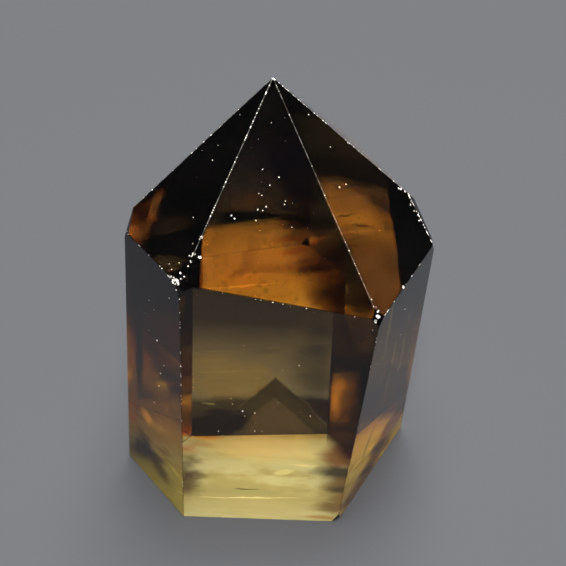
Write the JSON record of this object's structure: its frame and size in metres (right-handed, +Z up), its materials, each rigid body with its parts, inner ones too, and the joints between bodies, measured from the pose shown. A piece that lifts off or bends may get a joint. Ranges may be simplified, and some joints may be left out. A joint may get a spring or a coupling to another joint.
{
  "type": "citrine crystal point",
  "caption": "Polished smoky amber quartz point with flat prism faces, a pointed top and a ground flat foot to stand on.",
  "frame": {"origin": "middle of the flat ground foot, on the surface it stands on", "axes": "+Z up along the crystal towards the tip, -Y out of the broad front face"},
  "size_m": [0.0314, 0.0246, 0.0499],
  "materials": {
    "citrine": "polished clear smoky amber quartz"
  },
  "bodies": {
    "root": {"crystal": "citrine"}
  },
  "joints": []
}
